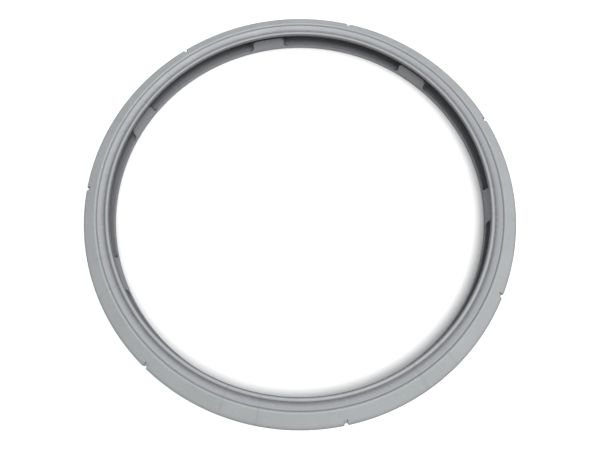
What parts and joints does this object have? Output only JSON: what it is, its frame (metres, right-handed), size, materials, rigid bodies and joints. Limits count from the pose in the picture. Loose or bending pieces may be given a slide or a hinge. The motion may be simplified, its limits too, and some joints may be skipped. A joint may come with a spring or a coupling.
{
  "type": "pressure cooker sealing ring",
  "caption": "Moulded silicone lid gasket: a flat ring with an inward-opening C section, a beaded upper lip, spacer blocks in the channel and vent notches across the outer rim.",
  "frame": {"origin": "on the ring's axis, at the height of the underside of the lower lip", "axes": "+Z along the ring's axis towards the upper lip, with the ring lying flat; a vent notch is on +Y and a spacer block on -Y"},
  "size_m": [0.24, 0.24, 0.0166],
  "materials": {
    "silicone": "satin light grey moulded silicone"
  },
  "bodies": {
    "root": {"sealing_ring": "silicone"}
  },
  "joints": []
}
